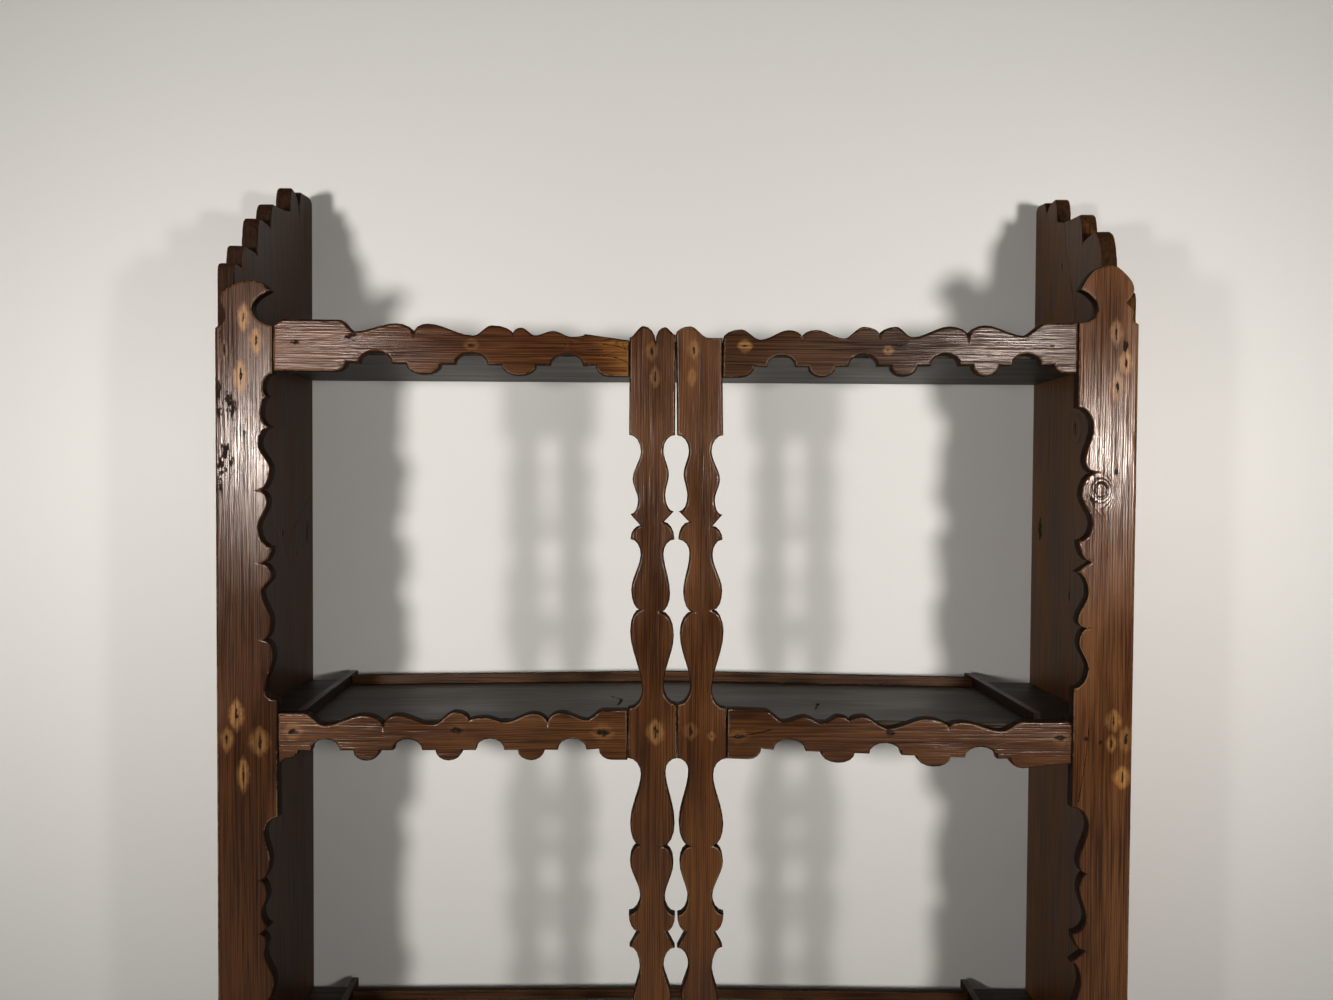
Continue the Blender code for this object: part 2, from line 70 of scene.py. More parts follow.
forward = Vector((math.sin(YAW) * math.cos(PITCH), math.cos(YAW) * math.cos(PITCH), -math.sin(PITCH)))
level = Vector((math.cos(YAW), -math.sin(YAW), 0))
down = forward.cross(level)
right = math.cos(ROLL) * level + math.sin(ROLL) * down
up = math.sin(ROLL) * level - math.cos(ROLL) * down

bpy.ops.object.camera_add()
camera = bpy.context.object
camera.matrix_world = Matrix((
    (right.x, up.x, -forward.x, EYE.x),
    (right.y, up.y, -forward.y, EYE.y),
    (right.z, up.z, -forward.z, EYE.z),
    (0, 0, 0, 1)))
camera.data.sensor_fit = "HORIZONTAL"
camera.data.sensor_width = SENSOR_WIDTH
camera.data.lens = SENSOR_WIDTH * FOCAL_PIXELS / PHOTO_WIDTH
bpy.context.scene.camera = camera
bpy.context.scene.view_settings.view_transform = "Standard"
print("lens", round(camera.data.lens, 2), "mm")

# %% [markdown]
# A finish is a net of shader nodes. Wrapping a socket in a small class lets the sums between sockets be
# written as plain Python, and one method adds every other node, so a finish reads like a recipe.

# %% Shader helpers
# A Mix node has sockets for numbers and vectors before those for colours
MIX_SHARE = 0
MIX_FIRST_COLOUR = 6
MIX_SECOND_COLOUR = 7
MIX_COLOUR_OUT = 2


class Amount:
    """A shader socket that takes part in Python sums: each sum adds a Math node."""

    def __init__(self, finish, socket):
        self.finish = finish
        self.socket = socket

    def math(self, operation, *others):
        return self.finish.math(operation, self, *others)

    def __add__(self, other):
        return self.math("ADD", other)

    def __sub__(self, other):
        return self.math("SUBTRACT", other)

    def __rsub__(self, other):
        return self.finish.math("SUBTRACT", other, self)

    def __mul__(self, other):
        return self.math("MULTIPLY", other)

    def __truediv__(self, other):
        return self.math("DIVIDE", other)

    def __abs__(self):
        return self.math("ABSOLUTE")

    __radd__ = __add__
    __rmul__ = __mul__


class Finish:
    """A node net of a material or the world, and the one method that adds nodes to it."""

    def __init__(self, owner):
        owner.use_nodes = True
        self.tree = owner.node_tree
        self.tree.nodes.clear()

    def add(self, kind, settings, sockets, output=0):
        node = self.tree.nodes.new(kind)
        for setting, value in settings.items():
            setattr(node, setting, value)
        for place, value in sockets.items():
            if isinstance(value, Amount):
                self.tree.links.new(value.socket, node.inputs[place])
            else:
                node.inputs[place].default_value = value
        return Amount(self, node.outputs[output]) if node.outputs else None

    def math(self, operation, *values):
        return self.add("ShaderNodeMath", {"operation": operation}, dict(enumerate(values)))

    def rise(self, value, low, high):
        """0 below low, 1 above high, and a smooth step between them."""
        return self.add("ShaderNodeMapRange", {"interpolation_type": "SMOOTHSTEP"},
                        {"Value": value, "From Min": low, "From Max": high})

    def blend(self, share, first, second):
        """A colour between two colours."""
        sockets = {MIX_SHARE: share, MIX_FIRST_COLOUR: first, MIX_SECOND_COLOUR: second}
        return self.add("ShaderNodeMix", {"data_type": "RGBA"}, sockets, output=MIX_COLOUR_OUT)

    def band(self, value, low, full, until, high):
        """A smooth step up from low to full, and one down from until to high."""
        return self.rise(value, low, full) * (1 - self.rise(value, until, high))

    def noise(self, place, scale, detail=2.0):
        """Soft noise from 0 to 1, with its own scale along each axis of the place."""
        stretched = self.add("ShaderNodeVectorMath", {"operation": "MULTIPLY"}, {0: place, 1: scale})
        return self.add("ShaderNodeTexNoise", {}, {"Vector": stretched, "Scale": 1.0, "Detail": detail})

    def split(self, vector):
        """The X, Y and Z of a vector."""
        return [self.add("ShaderNodeSeparateXYZ", {}, {0: vector}, output=axis) for axis in range(3)]


def shade(red, green, blue):
    """A colour for a socket, from linear red, green and blue."""
    return (red, green, blue, 1.0)


# %% [markdown]
# The studio is a pale floor and a pale wall close behind the cabinet, which takes the soft shadows. The
# wall shows only from its front, so the back of the cabinet can be looked at too. More lamps would make
# the far parts of the room pale, but they would grey the wood. So floor and wall glow instead, where the
# camera or a reflection looks at them, and the glow lights nothing.

# %% Floor and wall
ROOM_HALF = 4.0
WALL_GAP = 0.024
PALE_WALL = shade(0.80, 0.775, 0.74)
PALE_FLOOR = shade(0.72, 0.70, 0.67)
CLOUD_WAVES = (1.5, 1.5, 1.5)
CLOUD_LIFT = 1.04
FLOOR_GLOW = 0.5
WALL_GLOW = 0.0
LIT_MIDDLE = (0, 0, 1.3)
GLOW_FROM = 1.0
GLOW_FULL = 3.0


def pale_paint(name, colour, least_glow, one_sided):
    """Flat paint with a faint unevenness, seen from the front only where it is one-sided.

    The glow shows to the camera and in reflections, and lights nothing. It grows away from the lamps
    until floor, wall and backdrop are one pale colour.
    """
    material = bpy.data.materials.new(name)
    finish = Finish(material)
    place = finish.add("ShaderNodeTexCoord", {}, {}, output="Object")
    cloud = finish.noise(place, CLOUD_WAVES)
    paler = shade(*(channel * CLOUD_LIFT for channel in colour[:3]))
    paint = finish.add("ShaderNodeBsdfDiffuse", {}, {"Color": finish.blend(cloud, colour, paler)})
    path_camera = finish.add("ShaderNodeLightPath", {}, {}, output="Is Camera Ray")
    path_glossy = finish.add("ShaderNodeLightPath", {}, {}, output="Is Glossy Ray")
    looked_at = finish.math("MAXIMUM", path_camera, path_glossy)
    away = finish.add("ShaderNodeVectorMath", {"operation": "DISTANCE"}, {0: place, 1: LIT_MIDDLE},
                      output="Value")
    glow = least_glow + (1 - least_glow) * finish.rise(away, GLOW_FROM, GLOW_FULL)
    pale = finish.add("ShaderNodeEmission", {}, {"Color": PALE_WALL, "Strength": 1.0})
    paint = finish.add("ShaderNodeMixShader", {}, {0: looked_at * glow, 1: paint, 2: pale})
    if one_sided:
        behind = finish.add("ShaderNodeNewGeometry", {}, {}, output="Backfacing")
        shown = looked_at * (1 - behind)
        clear = finish.add("ShaderNodeBsdfTransparent", {}, {})
        paint = finish.add("ShaderNodeMixShader", {}, {0: shown, 1: clear, 2: paint})
    finish.add("ShaderNodeOutputMaterial", {}, {"Surface": paint})
    return material


bpy.ops.object.select_all(action="DESELECT")
bpy.ops.mesh.primitive_plane_add(size=2 * ROOM_HALF)
floor = bpy.context.object
floor.name = "floor"
floor.data.materials.append(pale_paint("pale_floor", PALE_FLOOR, FLOOR_GLOW, False))

bpy.ops.object.select_all(action="DESELECT")
bpy.ops.mesh.primitive_plane_add(size=2 * ROOM_HALF, location=(0, BACK + WALL_GAP, ROOM_HALF),
                                 rotation=(math.radians(90), 0, 0))
wall = bpy.context.object
wall.name = "wall"
bpy.ops.object.transform_apply(location=True, rotation=True, scale=True)
wall.data.materials.append(pale_paint("pale_wall", PALE_WALL, WALL_GLOW, True))
print("wall", round(WALL_GAP / MM), "mm behind the cabinet")

# %% [markdown]
# Waxed wood shows its lamps, so their places matter more than their number. Two small discs stand left
# and right of the camera at the height of the upper bay, and their reflections light up the stiles
# there. One large lamp would be softer, but it would grey the whole front. Three larger lamps fill in the
# sides and, through the wall, the back. Those at the sides stand close to the plane of the wall and only
# graze it, so they hardly touch what the front shows. The world adds a low light from the room and a
# stronger one from behind, as a white wall gives back.

# %% Lamps and world
LAMP_OUT = 0.82
LAMP_AIM_OUT = 0.70
LAMP_AHEAD = 1.85
LAMP_HEIGHT = 1.32
LAMP_SIZE = 0.18
LAMP_SPREAD = math.radians(78)
LAMP_POWER = 6.7
LAMP_COLOUR = (1.0, 0.985, 0.955)
FILL_HEIGHT = 1.12
SIDE_FILL_AWAY = 2.6
SIDE_FILL_Y = 0.11
SIDE_FILL_SIZE = 0.4
SIDE_FILL_SPREAD = math.radians(50)
SIDE_FILL_POWER = 3
BACK_FILL_AWAY = 2.6
BACK_FILL_SIZE = 0.9
BACK_FILL_SPREAD = math.radians(180)
BACK_FILL_POWER = 16
ROOM_LIGHT = 0.05
WALL_LIGHT = 0.08
WALL_LIGHT_FROM = -0.1
WALL_LIGHT_FULL = 0.5
ROOM_COLOUR = shade(0.96, 0.97, 1.0)


def disc_lamp(name, stand, target, size, spread, power):
    """A round soft lamp that looks from its stand to a target."""
    turn = (target - stand).to_track_quat("-Z", "Y").to_euler()
    bpy.ops.object.light_add(type="AREA", location=stand, rotation=turn)
    lamp = bpy.context.object
    lamp.name = name
    lamp.data.shape = "DISK"
    lamp.data.size = size
    lamp.data.spread = spread
    lamp.data.energy = power
    lamp.data.color = LAMP_COLOUR
    return lamp


def fill_lamp(name, stand, size, spread, power):
    """A lamp that looks level at the cabinet and shows neither to the camera nor in the wax."""
    lamp = disc_lamp(name, stand, Vector((0, 0, stand.z)), size, spread, power)
    lamp.visible_camera = False
    lamp.visible_glossy = False


for name, side in (("lamp_left", -1), ("lamp_right", 1)):
    stand = Vector((side * LAMP_OUT, FRONT - LAMP_AHEAD, LAMP_HEIGHT))
    target = Vector((side * LAMP_AIM_OUT, FRONT, LAMP_HEIGHT))
    disc_lamp(name, stand, target, LAMP_SIZE, LAMP_SPREAD, LAMP_POWER)
for name, side in (("fill_left", -1), ("fill_right", 1)):
    stand = Vector((side * SIDE_FILL_AWAY, SIDE_FILL_Y, FILL_HEIGHT))
    fill_lamp(name, stand, SIDE_FILL_SIZE, SIDE_FILL_SPREAD, SIDE_FILL_POWER)
stand = Vector((0, BACK_FILL_AWAY, FILL_HEIGHT))
fill_lamp("fill_back", stand, BACK_FILL_SIZE, BACK_FILL_SPREAD, BACK_FILL_POWER)

world = bpy.data.worlds.new("studio")
bpy.context.scene.world = world
sky = Finish(world)
towards = sky.split(sky.add("ShaderNodeTexCoord", {}, {}, output="Generated"))[1]
from_behind = sky.rise(towards, WALL_LIGHT_FROM, WALL_LIGHT_FULL)
strength = ROOM_LIGHT + from_behind * (WALL_LIGHT - ROOM_LIGHT)
light = sky.add("ShaderNodeBackground", {}, {"Color": ROOM_COLOUR, "Strength": strength})
backdrop = sky.add("ShaderNodeBackground", {}, {"Color": PALE_WALL, "Strength": 1.0})
path_camera = sky.add("ShaderNodeLightPath", {}, {}, output="Is Camera Ray")
path_glossy = sky.add("ShaderNodeLightPath", {}, {}, output="Is Glossy Ray")
seen = sky.math("MAXIMUM", path_camera, path_glossy * from_behind)
surroundings = sky.add("ShaderNodeMixShader", {}, {0: seen, 1: light, 2: backdrop})
sky.add("ShaderNodeOutputWorld", {}, {"Surface": surroundings})
print("lamps at", LAMP_OUT, "m to each side")

# %% [markdown]
# Nail holes, knots and gouges mark the boards. Over the years the iron bled and the wax was rubbed away
# round each nail, which left a pale halo drawn out along the grain with a dark core. A mark is written
# down once, in millimetres on its board, and both the finish and the tools that dig the pits read it.

# %% Marks on the boards
Mark = namedtuple("Mark", "along across long wide pale core head swell", defaults=(0.0, 0.0))
# along, across: the mark's middle; long, wide: its half sizes along and across the grain
# pale: how strong the halo is; core: the dark core's share of the mark; head: a nail head's radius
# swell: how many growth rings turn round a knot for each of its own radii

SHELF_PITCH = 403
MIDDLE_OF_UPPER_BAY = 1200
NAIL_ASIDE = (-2, 3)

LEFT_STILE_MARKS = [
    Mark(1451, -450, 15, 5.5, 0.85, 0.24),
    Mark(1427, -437, 14, 6.0, 1.00, 0.30, 2.6),
    Mark(1390, -453, 17, 7.0, 1.00, 0.30, 3.2),
    Mark(1432, -474, 6, 2.5, 0.00, 0.90),
    Mark(1417, -470, 10, 3.5, 0.30, 0.70),
    Mark(1376, -477, 14, 4.5, 0.00, 0.90),
    Mark(1366, -465, 12, 8.5, 0.00, 0.90),
    Mark(1354, -462, 11, 6.0, 0.00, 0.90),
    Mark(1351, -475, 12, 4.0, 0.00, 0.90),
    Mark(1331, -449, 7, 5.0, 0.00, 0.60),
    Mark(1312, -470, 11, 8.0, 0.00, 0.90),
    Mark(1302, -463, 9, 6.0, 0.00, 0.90),
    Mark(1295, -474, 15, 6.5, 0.00, 0.90),
    Mark(1275, -474, 12, 3.5, 0.00, 0.90),
    Mark(1037, -459, 16, 6.5, 1.00, 0.14),
    Mark(1011, -469, 13, 6.0, 0.55, 0.30, 2.5),
    Mark(1009, -435, 15, 9.0, 0.50, 0.38, 3.0),
    Mark(974, -452, 18, 5.0, 1.00, 0.16),
]
RIGHT_STILE_MARKS = [
    Mark(1441, 456, 14, 5.0, 0.90, 0.18, 2.4),
    Mark(1428, 465, 8, 5.0, 0.00, 0.95),
    Mark(1410, 467, 13, 6.0, 0.90, 0.18, 2.2),
    Mark(1384, 458, 15, 5.5, 1.00, 0.24, 3.0),
    Mark(1296, 458, 8, 6.0, 0.00, 0.60),
    Mark(1277, 443, 8, 6.5, 0.00, 0.00, 0.0, 2.3),
    Mark(1268, 433, 5, 4.5, 0.00, 0.70),
    Mark(1035, 460, 12, 7.0, 0.80, 0.18, 1.8),
    Mark(1016, 431, 6, 9.0, 0.00, 0.50),
    Mark(1012, 446, 4, 4.0, 0.00, 0.80),
    Mark(1011, 458, 10, 4.5, 0.90, 0.22),
    Mark(1015, 473, 14, 6.5, 0.60, 0.45, 3.2),
    Mark(975, 470, 12, 8.0, 1.00, 0.30, 2.0),
]
LEFT_BALUSTER_MARKS = [
    Mark(1419, -27, 10, 5.5, 0.38, 0.35),
    Mark(1392, -23, 11, 4.5, 0.55, 0.25, 1.6),
    Mark(1021, -21, 13, 8.0, 0.75, 0.38, 3.8),
]
RIGHT_BALUSTER_MARKS = [
    Mark(1421, 17, 10, 5.5, 0.40, 0.30, 2.0),
    Mark(1392, 15, 10, 4.5, 0.42, 0.20),
    Mark(1022, 16, 9, 7.0, 0.35, 0.60, 3.2),
    Mark(1017, 38, 5, 4.0, 0.50, 0.30),
]
TOP_LEFT_RAIL_MARKS = [
    Mark(-397, 1426, 5, 4.0, 0.00, 0.90, 2.6),
    Mark(-339, 1433, 9, 6.5, 0.00, 0.95),
    Mark(-214, 1424, 8, 6.0, 0.35, 0.65, 2.8),
    Mark(-86, 1420, 20, 3.2, 0.00, 0.50, 2.4, 2.2),
]
TOP_RIGHT_RAIL_MARKS = [
    Mark(70, 1425, 8, 5.5, 0.80, 0.40, 2.4),
    Mark(219, 1421, 6, 4.5, 0.75, 0.20),
    Mark(230, 1427, 3.5, 4.5, 0.00, 0.90, 2.6),
    Mark(389, 1427, 4.5, 4.0, 0.20, 0.75, 3.0),
]
UPPER_LEFT_RAIL_MARKS = [
    Mark(-400, 1020, 10, 8.0, 0.45, 0.65, 2.8),
    Mark(-229, 1022, 10, 8.0, 0.10, 0.80, 3.0),
    Mark(-76, 1020, 12, 8.0, 0.40, 0.70, 3.2),
]
UPPER_RIGHT_RAIL_MARKS = [
    Mark(66, 1017, 12, 6.5, 0.25, 0.60, 2.6),
    Mark(225, 1021, 8, 7.0, 0.00, 0.80, 3.0),
    Mark(404, 1017, 9, 8.5, 0.25, 0.70, 3.2),
]


def dropped(mark, shelves, upright):
    """The same mark some shelves lower, a little aside, as another nail at the same joint would be."""
    aside = NAIL_ASIDE[shelves % 2]
    drop = shelves * SHELF_PITCH
    if upright:
        return mark._replace(along=mark.along - drop, across=mark.across + aside)
    return mark._replace(along=mark.along + aside, across=mark.across - drop)


def down_the_upright(marks):
    """An upright's marks, with those of the upper shelf's joint repeated at the shelves below."""
    joint = [mark for mark in marks if mark.along < MIDDLE_OF_UPPER_BAY]
    return marks + [dropped(mark, shelves, True) for shelves in (1, 2) for mark in joint]


RAIL_MARKS = {("top", "left"): TOP_LEFT_RAIL_MARKS, ("top", "right"): TOP_RIGHT_RAIL_MARKS,
              ("upper", "left"): UPPER_LEFT_RAIL_MARKS, ("upper", "right"): UPPER_RIGHT_RAIL_MARKS}
SAME_CUT_ABOVE = {"lower": "top", "bottom": "upper"}
for shelf, above in SAME_CUT_ABOVE.items():
    for hand in ("left", "right"):
        RAIL_MARKS[shelf, hand] = [dropped(mark, 2, False) for mark in RAIL_MARKS[above, hand]]
print("marks on rails:", sum(len(marks) for marks in RAIL_MARKS.values()))

# %% [markdown]
# No two boards are alike, so a short record says how each was sawn and stained: which way its grain runs,
# where the heart of the tree lay, and how much stain, wax and wear it has. One finish can then read the
# record, which is less work than a finish for each board.

# %% How a board was cut
X, Y, Z = 0, 1, 2


class Board:
    """How one board was cut and stained, and the marks on it."""

    # edge_stain_and_shade: how dark the edges go, partly stain on sawn walls and partly painted shade on
    # rounded corners
    def __init__(self, along, across, tone, heart, seed, marks=(), heart_depth=0.012, contrast=1.0,
                 roughness=0.20, shine=0.20, edge_stain_and_shade=0.85, relief=1.0, pores=0.75, yellow=(),
                 yellow_top=0.0):
        self.along = along
        self.across = across
        self.facing = X + Y + Z - along - across
        self.tone = tone
        self.heart = heart
        self.seed = seed
        self.marks = marks
        self.heart_depth = heart_depth
        self.contrast = contrast
        self.roughness = roughness
        self.shine = shine
        self.edge_stain_and_shade = edge_stain_and_shade
        self.relief = relief
        self.pores = pores
        self.yellow = yellow
        self.yellow_top = yellow_top


# %% [markdown]
# Pine is a stack of growth rings cut through by the saw. The finish works out how far each point lies
# from the heart of the tree, lets that distance wander, and cuts it into rings: close dark lines where
# the heart lies beside the board, wide bands where it lies under it. A Wave texture is quicker to set up,
# but here each knot has to turn the rings beside it, and that needs the distance itself.

# %% Growth rings
RING = 2.4 * MM
DRIFT_WAVES = (1.9, 9, 9)
RIPPLE_WAVES = (11, 60, 60)
# How far the heart of the tree wanders, in metres
DRIFT_SIDEWAYS = 0.026
RIPPLE_SIDEWAYS = 0.0022
DRIFT_INTO = 0.010
# Rings turn round a knot up to the first distance, in its radii, and run straight from the second
KNOT_CLOSE = 1.2
KNOT_FAR = 4.5
KNOT_LINE = 0.45
LENS_KNOT = 0.35


def distance_from(pine, along, across, mark):
    """How far a point lies from a mark, 1 at its edge. A mark without a core is an oval, else a lens."""
    off_along = (along - mark.along * MM) / (mark.long * MM)
    off_across = (across - mark.across * MM) / (mark.wide * MM)
    if mark.core:
        return off_along * off_along + abs(off_across)
    return pine.math("SQRT", off_along * off_along + off_across * off_across)


def growth_rings(pine, board, place, across, offs):
    """How many rings lie between a point and the heart, and how near a knot is, from 0 to 1."""
    drift = pine.noise(place, DRIFT_WAVES) - 0.5
    ripple = pine.noise(place, RIPPLE_WAVES) - 0.5
    sideways = across - board.heart + drift * DRIFT_SIDEWAYS + ripple * RIPPLE_SIDEWAYS
    depth = board.heart_depth + drift * DRIFT_INTO
    rings = pine.math("SQRT", sideways * sideways + depth * depth) / RING
    near_knot = 0.0
    for mark, off in zip(board.marks, offs):
        if mark.swell:
            nearness = 1 - pine.rise(off, KNOT_CLOSE, KNOT_FAR)
            rings_at_knot = math.hypot(mark.across * MM - board.heart, board.heart_depth) / RING
            from_knot = off if mark.core else pine.math("MAXIMUM", off, 1.0)
            round_knot = round(rings_at_knot) + KNOT_LINE + mark.swell * (from_knot - 1)
            rings = rings + nearness * (round_knot - rings)
            near_knot = pine.math("MAXIMUM", near_knot, nearness * (LENS_KNOT if mark.core else 1.0))
    return rings, near_knot


# %% [markdown]
# Besides its rings, a board has fibres, streaks, pores and blotches. Each is a noise that is stretched
# along the grain. They are made once for a board, because its stain, its scars and its wax all read them.

# %% Patterns of the grain
SEED_STEP = 5.3
# Waves of noise in a metre, along the grain, across it and into the board
RAGGED_WAVES = (190, 260, 260)
FIBRE_WAVES = (12, 460, 460)
STREAK_WAVES = (6, 230, 230)
PORE_WAVES = (9, 430, 430)
BLOTCH_WAVES = (7, 22, 22)
FAINT_WAVES = (6, 55, 55)
PORE_FROM = 0.56
PORE_FULL = 0.70
# Where a ring's dark line starts, is full, thins out and ends, as a share of the ring
LATE_BAND = (0.25, 0.84, 0.86, 1.0)


class Grain:
    """The patterns of a board's grain."""

    def __init__(self, pine, board):
        axes = pine.split(pine.add("ShaderNodeTexCoord", {}, {}, output="Object"))
        self.along = axes[board.along]
        self.across = axes[board.across]
        shifted = self.along + SEED_STEP * board.seed
        place = pine.add("ShaderNodeCombineXYZ", {}, {0: shifted, 1: self.across, 2: axes[board.facing]})
        self.place = place
        self.offs = [distance_from(pine, self.along, self.across, mark) for mark in board.marks]
        rings, self.near_knot = growth_rings(pine, board, place, self.across, self.offs)
        self.ragged = pine.noise(place, RAGGED_WAVES) - 0.5
        self.fibre = pine.noise(place, FIBRE_WAVES, 3.0) - 0.5
        self.streak = pine.noise(place, STREAK_WAVES, 3.0) - 0.5
        self.blotch = pine.noise(place, BLOTCH_WAVES, 4.0) - 0.5
        self.pores = pine.rise(pine.noise(place, PORE_WAVES, 3.0), PORE_FROM, PORE_FULL)
        faintness = pine.noise(place, FAINT_WAVES) * 1.6 - 0.25
        ring_line = pine.band(pine.math("FRACT", rings), *LATE_BAND)
        self.late = ring_line * pine.math("MAXIMUM", faintness, self.near_knot)


# %% [markdown]
# Under the stain the hard late lines are darker than the soft wood between them, so the colour is a blend
# between a dark and a light shade of one tone, moved by lines, fibres and blotches. Where a board was
# mended, a yellower wood is blended in.

# %% Stain
DARK_SHARES = (0.42, 0.38, 0.38)
LIGHT_SHARES = (1.58, 1.62, 1.62)
YELLOW_WOOD = shade(0.27, 0.115, 0.026)
YELLOW_FADE_IN = 0.03
YELLOW_FADE_OUT = 0.004


def tinted(tone, shares):
    """A tone with each of its three colours made stronger or weaker."""
    return shade(*(colour * share for colour, share in zip(tone, shares)))


def stain_colour(pine, board, grain):
    """The colour of the stained wood before wear."""
    lines = (0.28 + 0.5 * grain.near_knot) * (grain.late - 0.25)
    figure = 0.8 * grain.streak + 1.3 * grain.fibre - lines
    lightness = 0.5 + board.contrast * 1.35 * figure + 2.0 * grain.blotch
    colour = pine.blend(lightness, tinted(board.tone, DARK_SHARES), tinted(board.tone, LIGHT_SHARES))
    for start, end in board.yellow:
        wavy = grain.along + 0.02 * grain.blotch + 0.6 * (grain.across - board.yellow_top)
        inside = pine.rise(wavy, start, start + YELLOW_FADE_IN)
        inside = inside * (1 - pine.rise(grain.along, end - YELLOW_FADE_OUT, end))
        yellowness = 0.42 + 2.6 * grain.streak + 1.2 * grain.blotch - 0.5 * grain.late
        colour = pine.blend(inside * yellowness, colour, YELLOW_WOOD)
    return colour


# %% [markdown]
# Round a nail the stain is rubbed away in a pale halo with torn edges. Nail holes and gouges are black
# with dirt, and a knot keeps a black ring of bark. Each mark is worked out from a distance, so that it
# stays sharp close up and lies right over its pit.

# %% Halos and scars
TORN_WAVES = (190, 400, 400)
GOUGE_CORE = 0.85
GOUGE_TEAR = 3.8
HALO_FULL = 0.15
HALO_END = 1.65
BARK_BAND = (0.74, 0.83, 0.98, 1.10)


def worn_and_scarred(pine, board, grain):
    """How far the stain is rubbed away at each point, and how black the point is scarred."""
    torn = pine.noise(grain.place, TORN_WAVES) - 0.5
    worn = 0.0
    scar = 0.0
    for mark, off in zip(board.marks, grain.offs):
        rough_off = off + grain.ragged * 0.9 + grain.streak * 0.6
        if mark.core > GOUGE_CORE:
            rough_off = rough_off + torn * GOUGE_TEAR
        if mark.pale:
            rim = 0.6 + 0.4 * pine.rise(rough_off, mark.core * 0.5, mark.core + 0.4)
            halo = (1 - pine.rise(rough_off, HALO_FULL, HALO_END)) * rim
            worn = pine.math("MAXIMUM", worn, mark.pale * halo)
        if mark.core:
            black = 1 - pine.rise(rough_off, mark.core * 0.25, mark.core * 0.85)
        else:
            black = pine.band(off + grain.ragged * 0.25, *BARK_BAND)
        scar = pine.math("MAXIMUM", scar, black)
    return worn, scar


# %% [markdown]
# Sawn edges drink more stain than the planed face and stay dull. Their colour also darkens as the surface
# turns away from the face, which is painted shade: it gives the rounded corners a dark rim. The corners
# are rubbed bare in places, and that pale band is partly a painted highlight of the lamps on the polished
# rounding. The face is waxed. Planing leaves the hard lines proud by hundredths of a millimetre, and that
# is enough to draw a lamp's reflection out across the grain, so the gloss comes from a fine bump and not
# from a painted streak.

# %% Stained and waxed pine
HALO_TAN = shade(0.39, 0.182, 0.052)
# Pale tan of rubbed-bare corners, which also stands in as a painted highlight on the polished rounding
RUBBED_TAN_AND_HIGHLIGHT = shade(0.21, 0.115, 0.055)
# Black of dirty scars and knot bark, and also the painted shade on edges that turn from the face
SCAR_AND_SHADE_BLACK = shade(0.013, 0.007, 0.0045)
WAX_TINT = shade(1.0, 0.875, 0.815)
GRAIN_HEIGHT = 0.00017
# How squarely a point looks out of the flat face: 1 on the face, 0 on a sawn edge
# Below the first, the dark edge colour takes over: stain on sawn walls, painted shade on rounded corners
SAWN_OR_SHADED_BELOW = 0.78
PLANED_ABOVE = 0.997
# The band of corner angles that is painted pale: partly rubbed wood, partly a painted highlight
RUBBED_AND_HIGHLIGHT_BAND = (0.66, 0.82, 0.90, 0.98)
RUBBED_AND_HIGHLIGHT_SHARE = 0.8
SAWN_ROUGHNESS = 0.7
SAWN_SHINE = 0.05


